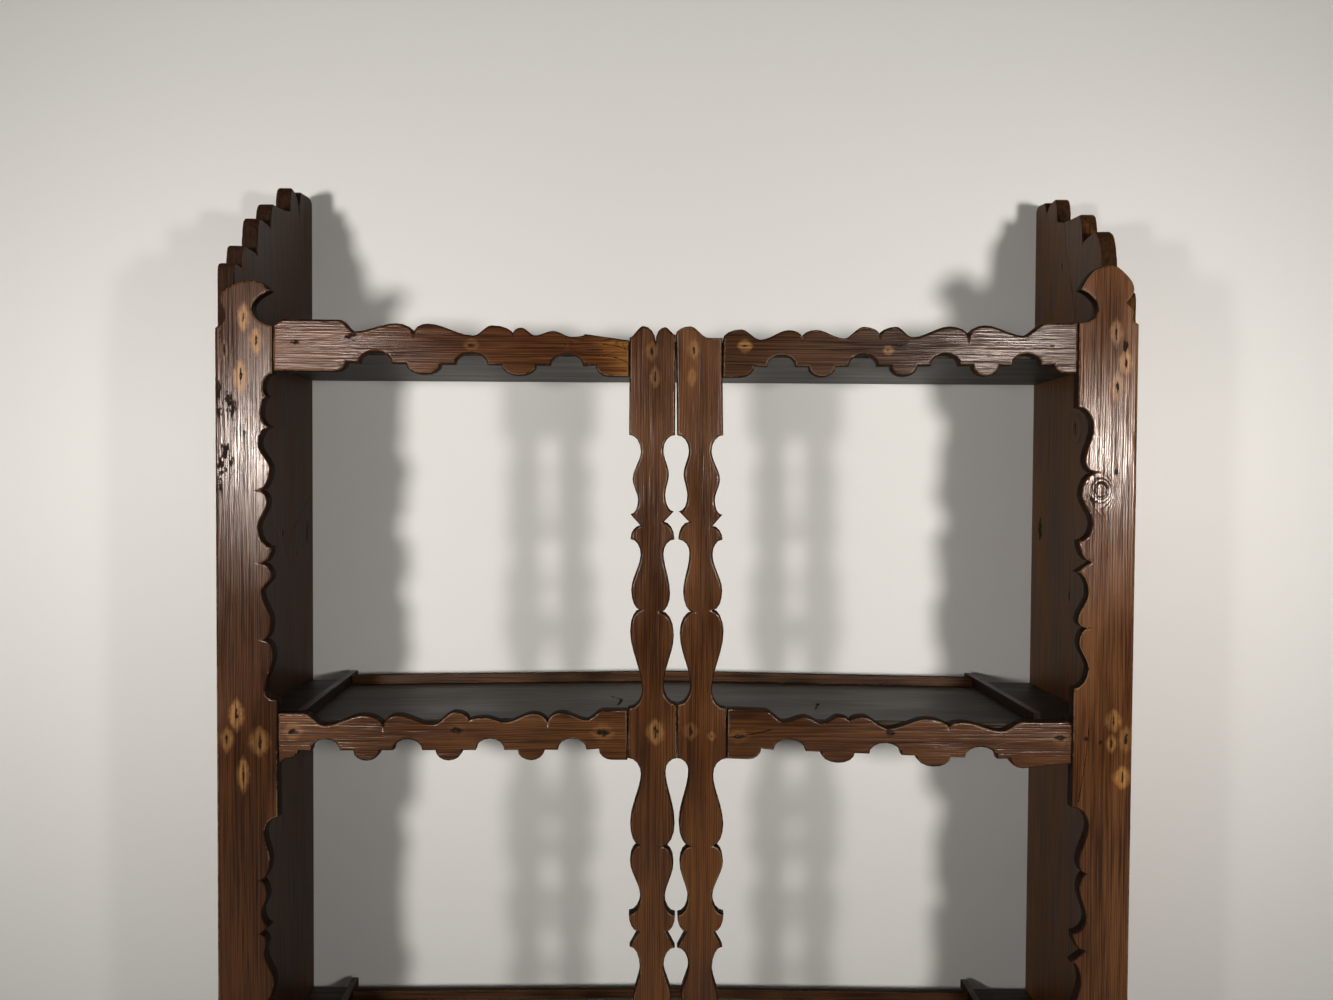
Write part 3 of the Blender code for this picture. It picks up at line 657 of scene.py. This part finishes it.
def stained_pine(name, board):
    """Dark stained and waxed pine with growth rings, knots, pale nail halos, dark sawn edges with painted
    shade on their rounded corners, and pale rubbed corners that are partly a painted highlight.
    """
    material = bpy.data.materials.new(name)
    pine = Finish(material)
    grain = Grain(pine, board)
    colour = stain_colour(pine, board, grain)
    worn, scar = worn_and_scarred(pine, board, grain)
    if board.marks:
        colour = pine.blend(worn * (0.82 + 2.0 * grain.streak + 1.4 * grain.fibre), colour, HALO_TAN)
        colour = pine.blend(scar * 0.9, colour, SCAR_AND_SHADE_BLACK)

    normal = pine.split(pine.add("ShaderNodeNewGeometry", {}, {}, output="Normal"))
    flatness = abs(normal[board.facing])
    # Painted shade: the colour darkens where the surface turns from the face, besides the deeper stain of
    # sawn wood
    on_edge = 1 - pine.rise(flatness, SAWN_OR_SHADED_BELOW, PLANED_ABOVE)
    # A pale band part way round each rounded corner: partly rubbed-bare wood, partly a painted highlight
    # of the lamps
    patchy = pine.rise(grain.blotch + 0.5 * grain.ragged, -0.02, 0.10)
    rubbed_and_highlight = RUBBED_AND_HIGHLIGHT_SHARE * (pine.band(flatness, *RUBBED_AND_HIGHLIGHT_BAND) * patchy)
    # How dark the edges go: deeper stain in sawn wood, and painted shade on the rounded corners
    edge_stain_and_shade = board.edge_stain_and_shade + 1.8 * grain.blotch + 0.6 * grain.ragged
    edge_colour_with_shade = pine.blend(rubbed_and_highlight, pine.blend(edge_stain_and_shade, colour, SCAR_AND_SHADE_BLACK), RUBBED_TAN_AND_HIGHLIGHT)
    colour = pine.blend(rubbed_and_highlight, colour, RUBBED_TAN_AND_HIGHLIGHT)
    dull_lines = (0.3 * board.pores + 0.5 * grain.near_knot) * grain.late
    open_grain = pine.math("MAXIMUM", board.pores * grain.pores, dull_lines)
    dull = pine.math("MAXIMUM", on_edge, pine.math("MAXIMUM", scar, open_grain))

    roughness = board.roughness + 0.08 * (0.4 - grain.late) + 0.3 * grain.blotch + 0.1 * worn
    height = 1.3 * grain.fibre + 1.2 * grain.streak + (0.24 + 0.2 * grain.near_knot) * grain.late
    bump = pine.add("ShaderNodeBump", {}, {
        "Strength": 1.0, "Distance": GRAIN_HEIGHT * board.relief, "Height": height})
    planed = pine.add("ShaderNodeBsdfPrincipled", {}, {
        "Base Color": colour, "Roughness": roughness, "Specular IOR Level": board.shine,
        "Specular Tint": WAX_TINT, "Normal": bump})
    # The dull finish of sawn edges, scars and pores; its colour carries the painted shade of turned edges
    sawn_and_shaded = pine.add("ShaderNodeBsdfPrincipled", {}, {
        "Base Color": edge_colour_with_shade, "Roughness": SAWN_ROUGHNESS, "Specular IOR Level": SAWN_SHINE})
    wood = pine.add("ShaderNodeMixShader", {}, {0: dull, 1: planed, 2: sawn_and_shaded})
    pine.add("ShaderNodeOutputMaterial", {}, {"Surface": wood})
    return material


# %% [markdown]
# Pits, gouges and cracks are real hollows, so they are cut out of the boards. Two tools do it: a rough
# lump, which is a small ball shaken at random and pulled to size, and a crack's blade, which is a thin
# strip shaken into a zigzag and extruded. The lumps of a board lie apart, so they are joined and cut
# away at once. The blades of a long crack overlap, so each is cut by itself.

# %% Tools for scars
PIT_DEPTH = 1.7 * MM
LUMP_SHAKE = 0.22
CRACK_DEPTH = 4 * MM
BLADE_STEPS = 10
BLADE_SHAKE = 0.3
BLADE_PROUD = 0.25


def rough_lump(middle, radii, seed):
    """A small rough ball, as a tool that digs a pit."""
    bpy.ops.object.select_all(action="DESELECT")
    bpy.ops.mesh.primitive_ico_sphere_add(subdivisions=2, radius=1)
    lump = bpy.context.object
    bpy.ops.object.mode_set(mode="EDIT")
    bpy.ops.mesh.select_all(action="SELECT")
    bpy.ops.transform.vertex_random(offset=LUMP_SHAKE, uniform=1.0, seed=seed, wait_for_input=False)
    bpy.ops.transform.resize(value=radii)
    bpy.ops.transform.translate(value=middle)
    bpy.ops.object.mode_set(mode="OBJECT")
    return lump


def crack_blade(start, end, into, width, seed):
    """A thin zigzag strip from start to end, as a tool that opens a crack in the direction into."""
    run = end - start
    proud = CRACK_DEPTH * BLADE_PROUD
    bpy.ops.object.select_all(action="DESELECT")
    bpy.ops.mesh.primitive_grid_add(x_subdivisions=BLADE_STEPS, y_subdivisions=1, size=1)
    blade = bpy.context.object
    bpy.ops.object.mode_set(mode="EDIT")
    bpy.ops.mesh.select_all(action="SELECT")
    bpy.ops.transform.resize(value=(run.length, width, 1))
    bpy.ops.transform.translate(value=(run.length / 2, 0, -proud))
    bpy.ops.transform.vertex_random(offset=width * BLADE_SHAKE, uniform=1.0, seed=seed,
                                    wait_for_input=False)
    bpy.ops.mesh.extrude_region_move(TRANSFORM_OT_translate={"value": (0, 0, CRACK_DEPTH + proud)})
    bpy.ops.mesh.select_all(action="SELECT")
    bpy.ops.mesh.normals_make_consistent(inside=False)
    bpy.ops.object.mode_set(mode="OBJECT")
    ahead = run.normalized()
    across = into.cross(ahead).normalized()
    square_in = ahead.cross(across)
    blade.matrix_world = Matrix((
        (ahead.x, across.x, square_in.x, start.x),
        (ahead.y, across.y, square_in.y, start.y),
        (ahead.z, across.z, square_in.z, start.z),
        (0, 0, 0, 1)))
    bpy.ops.object.transform_apply(location=True, rotation=True, scale=True)
    return blade


def crack_tools(points, into, width):
    """The blades that open a crack along a line of points."""
    return [crack_blade(start, end, into, width, number)
            for number, (start, end) in enumerate(zip(points, points[1:]))]


def join_tools(tools):
    """One tool made of several that don't meet."""
    bpy.ops.object.select_all(action="DESELECT")
    for tool in tools:
        tool.select_set(True)
    bpy.context.view_layer.objects.active = tools[0]
    bpy.ops.object.join()
    return bpy.context.object


def cut_away(board, tools):
    """Cut each tool out of a board in turn, and throw it away."""
    bpy.ops.object.select_all(action="DESELECT")
    bpy.context.view_layer.objects.active = board
    board.select_set(True)
    for tool in tools:
        cut = board.modifiers.new("scar", "BOOLEAN")
        cut.operation = "DIFFERENCE"
        cut.object = tool
        bpy.ops.object.modifier_apply(modifier=cut.name)
        bpy.data.objects.remove(tool)


def pit_tools(marks, upright):
    """The lumps that dig the cores of a face board's marks."""
    tools = []
    for number, mark in enumerate(mark for mark in marks if mark.core):
        half_long = mark.long * mark.core * MM
        half_wide = mark.wide * mark.core * MM
        if upright:
            middle = (mark.across * MM, FRONT, mark.along * MM)
            radii = (half_wide, PIT_DEPTH, half_long)
        else:
            middle = (mark.along * MM, FRONT, mark.across * MM)
            radii = (half_long, PIT_DEPTH, half_wide)
        tools.append(rough_lump(middle, radii, number))
    return [join_tools(tools)]


# %% [markdown]
# A board leaves the saw with sharp corners and loses them to hands and dust cloths. Each board of the
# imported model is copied, and its loose triangles are merged and flattened back to whole faces. A bevel
# with a few steps then rounds the corners. On a fretted board only the two outlines are rounded, so the
# notches between the humps stay as sharp as the saw left them. Then the scars are cut, and weighted
# normals keep the flat faces flat in the light.

# %% Rounded boards
SHELVES = ("bottom", "lower", "upper", "top")
EDGE_ANGLE = math.radians(40)
FACE_RADIUS = 2.6 * MM
SIDE_RADIUS = 2.5 * MM
PLAIN_RADIUS = 1.2 * MM
SHORTEST_EDGE = 1.2 * MM
CORNER_STEPS = 3
MERGE_WITHIN = 0.00002
SAME_PLANE = math.radians(1.0)
THROUGH_SHARE = 0.9
FLAT_NORMAL = 0.99


def select_outline(board, facing):
    """Select the corners where a board's flat faces meet the walls that go right through it."""
    places = [vertex.co[facing] for vertex in board.data.vertices]
    thickness = max(places) - min(places)
    beside = {}
    for face in board.data.polygons:
        depths = [places[vertex] for vertex in face.vertices]
        through = max(depths) - min(depths) > THROUGH_SHARE * thickness
        flat = abs(face.normal[facing]) > FLAT_NORMAL
        for corner in face.edge_keys:
            beside.setdefault(corner, set()).add("wall" if through else "flat" if flat else "other")
    for edge in board.data.edges:
        edge.select = beside[edge.key] == {"wall", "flat"}


def rounded_board(node, radius, facing=None, tools=()):
    """A copy of a packed board with worn corners and its scars cut, in place of the sharp one.

    With facing, the axis that the flat faces look along, only the outlines of those faces are worn.
    """
    bpy.ops.object.select_all(action="DESELECT")
    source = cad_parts[node]
    board = source.copy()
    board.data = source.data.copy()
    board.name = node + "_worn"
    bpy.context.collection.objects.link(board)
    for key in list(board.keys()):
        del board[key]
    board.parent = None
    board.data.materials.clear()
    bpy.context.view_layer.objects.active = board
    board.select_set(True)
    bpy.ops.object.mode_set(mode="EDIT")
    bpy.ops.mesh.select_all(action="SELECT")
    bpy.ops.mesh.remove_doubles(threshold=MERGE_WITHIN)
    bpy.ops.mesh.dissolve_limited(angle_limit=SAME_PLANE)
    bpy.ops.mesh.dissolve_degenerate(threshold=SHORTEST_EDGE)
    bpy.ops.mesh.select_mode(type="EDGE")
    if facing is not None:
        bpy.ops.mesh.select_all(action="DESELECT")
        bpy.ops.object.mode_set(mode="OBJECT")
        select_outline(board, facing)
        bpy.ops.object.mode_set(mode="EDIT")
    bpy.ops.mesh.bevel(offset=radius, segments=CORNER_STEPS, affect="EDGES", clamp_overlap=False)
    bpy.ops.object.mode_set(mode="OBJECT")
    if tools:
        cut_away(board, tools)
    bpy.ops.object.shade_smooth_by_angle(angle=EDGE_ANGLE)
    weight = board.modifiers.new("flat_faces", "WEIGHTED_NORMAL")
    weight.keep_sharp = True
    bpy.ops.object.modifier_apply(modifier=weight.name)
    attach(board, "root")
    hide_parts(node)
    return board


def dress(node, radius, cut, fretted=False, tools=()):
    """Round a board and stain it as it was cut, in a material named after the board."""
    facing = cut.facing if fretted else None
    board = rounded_board(node, radius, facing, tools)
    board.data.materials.append(stained_pine(node + "_pine", cut))
    print(board.name, len(board.data.polygons), "faces")
    return board


# %% [markdown]
# The two stiles are the outer uprights of the face. They carry most of the scars: the nails into the
# sides and shelves, black gouges on the left one and a large knot on the right one.

# %% Stiles
left_marks = down_the_upright(LEFT_STILE_MARKS)
right_marks = down_the_upright(RIGHT_STILE_MARKS)
LEFT_STILE = Board(Z, X, (0.047, 0.0155, 0.0042), -0.530, 1, left_marks, shine=0.185, relief=0.8)
RIGHT_STILE = Board(Z, X, (0.087, 0.0325, 0.0105), 0.380, 2, right_marks, roughness=0.155, shine=0.15)
dress("stile_left", FACE_RADIUS, LEFT_STILE, True, pit_tools(left_marks, True))
inward = Vector((0, 1, 0))
STILE_CRACK_WIDTH = 0.7 * MM
stile_crack = [Vector((x, FRONT, z)) for x, z in ((0.434, 1.028), (0.431, 0.992), (0.424, 0.949))]
right_tools = pit_tools(right_marks, True) + crack_tools(stile_crack, inward, STILE_CRACK_WIDTH)
dress("stile_right", FACE_RADIUS, RIGHT_STILE, True, right_tools)

# %% [markdown]
# The pair of flat balusters closes the middle of the face. They were cut from paler, straighter pine,
# and their finish is the warmest of the front.

# %% Balusters
left_marks = down_the_upright(LEFT_BALUSTER_MARKS)
right_marks = down_the_upright(RIGHT_BALUSTER_MARKS)
LEFT_BALUSTER = Board(Z, X, (0.074, 0.024, 0.0045), -0.120, 3, left_marks, contrast=0.8,
                     relief=0.9, roughness=0.25, shine=0.29, pores=0.4)
RIGHT_BALUSTER = Board(Z, X, (0.079, 0.0255, 0.0045), 0.110, 4, right_marks, contrast=0.8,
                      relief=0.9, roughness=0.25, shine=0.29, pores=0.4)
dress("baluster_left", FACE_RADIUS, LEFT_BALUSTER, True, pit_tools(left_marks, True))
dress("baluster_right", FACE_RADIUS, RIGHT_BALUSTER, True, pit_tools(right_marks, True))

# %% [markdown]
# A fretwork rail hangs on the front edge of each shelf, left and right of the balusters. Their grain
# runs along them. The top left rail was mended: the wood at its inner end is yellower.

# %% Rails
MENDED_RAIL = ("top", "left")
MENDED_END = (-0.112, -0.040)
RAIL_CRACKS = {
    ("top", "left"): (((-0.078, 1.426), (-0.060, 1.423), (-0.046, 1.418)),
                      ((-0.082, 1.414), (-0.064, 1.412), (-0.050, 1.406))),
    ("upper", "right"): (((0.060, 1.016), (0.080, 1.019), (0.101, 1.024)),),
}
RAIL_CRACK_WIDTH = 0.9 * MM
RAIL_HEART_BELOW = 0.040
FIRST_RAIL_SEED = 5
RAIL_ROUGHNESS = {"top": 0.20, "upper": 0.22}
RAIL_RELIEF = {"top": 1.25, "upper": 1.0}
RAIL_PORES = {"top": 0.95, "upper": 0.75}
RAIL_SHINE = {("top", "left"): 0.10, ("top", "right"): 0.14,
              ("upper", "left"): 0.26, ("upper", "right"): 0.25}
RAIL_TONE = {("top", "left"): (0.080, 0.027, 0.0080), ("top", "right"): (0.049, 0.0205, 0.0085),
             ("upper", "left"): (0.066, 0.022, 0.0040), ("upper", "right"): (0.060, 0.020, 0.0042)}
for number, ((shelf, hand), marks) in enumerate(RAIL_MARKS.items()):
    node = f"{shelf}_rail_{hand}"
    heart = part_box(node)[0].z - RAIL_HEART_BELOW
    mended = (MENDED_END,) if (shelf, hand) == MENDED_RAIL else ()
    pattern = SAME_CUT_ABOVE.get(shelf, shelf)
    cut = Board(X, Z, RAIL_TONE[pattern, hand], heart, FIRST_RAIL_SEED + number, marks,
                roughness=RAIL_ROUGHNESS[pattern], shine=RAIL_SHINE[pattern, hand],
                relief=RAIL_RELIEF[pattern], pores=RAIL_PORES[pattern],
                yellow=mended, yellow_top=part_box(node)[1].z)
    tools = pit_tools(marks, False)
    for ends in RAIL_CRACKS.get((shelf, hand), ()):
        tools += crack_tools([Vector((x, FRONT, z)) for x, z in ends], inward, RAIL_CRACK_WIDTH)
    dress(node, FACE_RADIUS, cut, True, tools)

# %% [markdown]
# The sides are wide dark boards with stepped tops. Inside they only get the light that comes back from
# the wall. They are split and bruised in places, and the right one has a long crack down from its top.

# %% Sides
LEFT_SIDE_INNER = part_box("side_left")[1].x
RIGHT_SIDE_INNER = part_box("side_right")[0].x
LEFT_SIDE_MARKS = [
    Mark(1216, 30, 7, 5, 0, 0.8),
    Mark(1191, 52, 6, 3, 0, 0.7),
    Mark(1187, 94, 6, 5, 0, 0.8),
    Mark(1210, 144, 22, 8, 0, 0.6, 0.0, 1.6),
]
RIGHT_SIDE_MARKS = [
    Mark(1148, 6, 12, 9, 0, 0.5, 0.0, 1.2),
    Mark(1219, 135, 26, 22, 0, 0.6, 0.0, 2.0),
    Mark(1344, -8, 16, 20, 0, 0.3, 0.0, 1.2),
    Mark(1540, 55, 9, 8, 0, 0.6),
]
LEFT_SIDE = Board(Z, Y, (0.041, 0.0175, 0.0085), 0.30, 20, LEFT_SIDE_MARKS, heart_depth=0.05,
                  roughness=0.42, shine=0.05, edge_stain_and_shade=0.45, pores=0.2)
RIGHT_SIDE = Board(Z, Y, (0.102, 0.039, 0.0085), -0.30, 21, RIGHT_SIDE_MARKS, heart_depth=0.05,
                   roughness=0.42, shine=0.07, edge_stain_and_shade=0.65, pores=0.2)

LONG_CRACK_WIDTH = 1.1 * MM
SHORT_CRACK_WIDTH = 1.3 * MM
outward = Vector((1, 0, 0))
long_crack = [Vector((RIGHT_SIDE_INNER, y, z)) for y, z in
              ((0.052, 1.600), (0.0355, 1.550), (0.0176, 1.517), (-0.0004, 1.473), (-0.006, 1.436))]
right_tools = crack_tools(long_crack, outward, LONG_CRACK_WIDTH)
short_cracks = (((0.076, 1.217), (0.150, 1.252)), ((0.137, 1.196), (0.158, 1.232)),
                ((0.022, 1.208), (0.038, 1.224)))
left_tools = []
for ends in short_cracks:
    points = [Vector((LEFT_SIDE_INNER, *place)) for place in ends]
    left_tools += crack_tools(points, -outward, SHORT_CRACK_WIDTH)
dress("side_left", SIDE_RADIUS, LEFT_SIDE, True, left_tools)
dress("side_right", SIDE_RADIUS, RIGHT_SIDE, True, right_tools)

# %% [markdown]
# The shelves were never waxed like the face. They are dull and worn by plates, so their finish is
# rougher than the others, with stronger streaks. Their tone is greyer too: a painted reflection, the grey
# sheen that the pale wall gives at a low angle.

# %% Shelves
SHELF_CRACK_WIDTH = 3.2 * MM
downward = Vector((0, 0, -1))
SHELF_CRACKS = {("upper", "front"): (
    ((-0.073, -0.004, 1.029), (-0.060, -0.030, 1.030), (-0.063, -0.068, 1.031)),
    ((0.165, -0.043, 1.029), (0.157, -0.087, 1.0305)))}
# Tones greyer than the other boards: a painted reflection of the pale wall
SHELF_CUTS = {"front": ((0.038, 0.027, 0.017), 0.10, 30), "back": ((0.028, 0.020, 0.013), -0.10, 31)}
for part, (tone, heart, seed) in SHELF_CUTS.items():
    cut = Board(X, Y, tone, heart, seed, heart_depth=0.06, contrast=2.8, roughness=0.5, shine=0.14,
                edge_stain_and_shade=0.1, pores=0.3)
    for shelf in SHELVES:
        tools = []
        for line in SHELF_CRACKS.get((shelf, part), ()):
            tools += crack_tools([Vector(place) for place in line], downward, SHELF_CRACK_WIDTH)
        dress(f"{shelf}_shelf_{part}", PLAIN_RADIUS, cut, False, tools)

# %% [markdown]
# Low strips along the back and the ends of each shelf stop the plates. They are plain sticks in the
# colour of the sides, rubbed on their top edges, where the pale rubbed band is partly a painted
# highlight.

# %% Strips
BACK_STRIP_TONE = (0.055, 0.024, 0.010)
END_STRIP_TONE = (0.056, 0.026, 0.012)
STRIP_HEART_BESIDE = 0.03
STRIP_ROUGHNESS = 0.35
FIRST_BACK_SEED = 40
FIRST_END_SEED = 50
for number, shelf in enumerate(SHELVES):
    for end in ("back", "left", "right"):
        node = f"{shelf}_strip_{end}"
        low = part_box(node)[0]
        if end == "back":
            cut = Board(X, Z, BACK_STRIP_TONE, low.z - STRIP_HEART_BESIDE, FIRST_BACK_SEED + number,
                        roughness=STRIP_ROUGHNESS, shine=0.1)
        else:
            cut = Board(Y, X, END_STRIP_TONE, low.x - STRIP_HEART_BESIDE, FIRST_END_SEED + number,
                        roughness=STRIP_ROUGHNESS, shine=0.15)
        dress(node, PLAIN_RADIUS, cut)

# %% [markdown]
# The nails were forged by hand. Each head is a short drum with its top faces drawn in and raised, as
# four hammer blows leave it, shaken a little out of true. One head is modelled for each nail, sunk in
# its pit about level with the face of the board.

# %% Nails
HEAD_SUNK = 0.6 * MM
HEAD_DEPTH = 3.0 * MM
HEAD_SIDES = 8
HEAD_TURN = 0.4
RIM_SHARE = 0.35
RIM_RISE = 0.35 * MM
TOP_SHARE = 0.3
TOP_RISE = 0.15 * MM
HAMMER_SHAKE = 0.3 * MM
RUST_WAVES = (900, 900, 900)
RUST_FROM = 0.4
RUST_FULL = 0.65
IRON_BLACK = shade(0.016, 0.009, 0.006)
RUST_BROWN = shade(0.055, 0.021, 0.009)


def forged_iron():
    """Dark iron with rust in its hollows."""
    material = bpy.data.materials.new("forged_iron")
    iron = Finish(material)
    place = iron.add("ShaderNodeTexCoord", {}, {}, output="Object")
    rust = iron.noise(place, RUST_WAVES, 3.0)
    colour = iron.blend(iron.rise(rust, RUST_FROM, RUST_FULL), IRON_BLACK, RUST_BROWN)
    bump = iron.add("ShaderNodeBump", {}, {"Strength": 0.6, "Distance": 0.0003, "Height": rust})
    surface = iron.add("ShaderNodeBsdfPrincipled", {}, {
        "Base Color": colour, "Roughness": 0.35 + 0.4 * rust, "Specular IOR Level": 0.3,
        "Normal": bump})
    iron.add("ShaderNodeOutputMaterial", {}, {"Surface": surface})
    return material


def select_top(head):
    """Select the faces of a nail head that look out of the board."""
    bpy.ops.object.mode_set(mode="OBJECT")
    for face in head.data.polygons:
        face.select = face.normal.y < -0.9
    bpy.ops.object.mode_set(mode="EDIT")


def nail_head(name, x, z, radius, seed):
    """A forged nail head in its pit."""
    bpy.ops.object.select_all(action="DESELECT")
    middle = (x, FRONT + HEAD_SUNK + HEAD_DEPTH / 2, z)
    bpy.ops.mesh.primitive_cylinder_add(vertices=HEAD_SIDES, radius=radius, depth=HEAD_DEPTH,
                                        location=middle, rotation=(math.radians(90), HEAD_TURN * seed, 0))
    head = bpy.context.object
    head.name = name
    bpy.ops.object.transform_apply(location=True, rotation=True, scale=True)
    bpy.ops.object.mode_set(mode="EDIT")
    bpy.ops.mesh.select_mode(type="FACE")
    bpy.ops.mesh.select_all(action="DESELECT")
    select_top(head)
    bpy.ops.mesh.inset(thickness=radius * RIM_SHARE)
    bpy.ops.transform.translate(value=(0, -RIM_RISE, 0))
    bpy.ops.mesh.inset(thickness=radius * TOP_SHARE)
    bpy.ops.transform.translate(value=(0, -TOP_RISE, 0))
    bpy.ops.mesh.select_all(action="SELECT")
    bpy.ops.transform.vertex_random(offset=HAMMER_SHAKE, uniform=1.0, seed=seed, wait_for_input=False)
    bpy.ops.object.mode_set(mode="OBJECT")
    head.data.materials.append(iron)
    bpy.ops.object.shade_smooth_by_angle(angle=EDGE_ANGLE)
    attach(head, "root")
    return head


iron = forged_iron()
uprights = {"stile_left": LEFT_STILE, "stile_right": RIGHT_STILE,
            "baluster_left": LEFT_BALUSTER, "baluster_right": RIGHT_BALUSTER}
nail_places = [(node, mark.across, mark.along, mark.head) for node, cut in uprights.items()
               for mark in cut.marks if mark.head]
nail_places += [(f"{shelf}_rail_{hand}", mark.along, mark.across, mark.head)
                for (shelf, hand), marks in RAIL_MARKS.items() for mark in marks if mark.head]
for number, (node, x, z, radius) in enumerate(nail_places):
    nail_head(f"nail_{number + 1}_{node}", x * MM, z * MM, radius * MM, number)
print("nails:", len(nail_places))
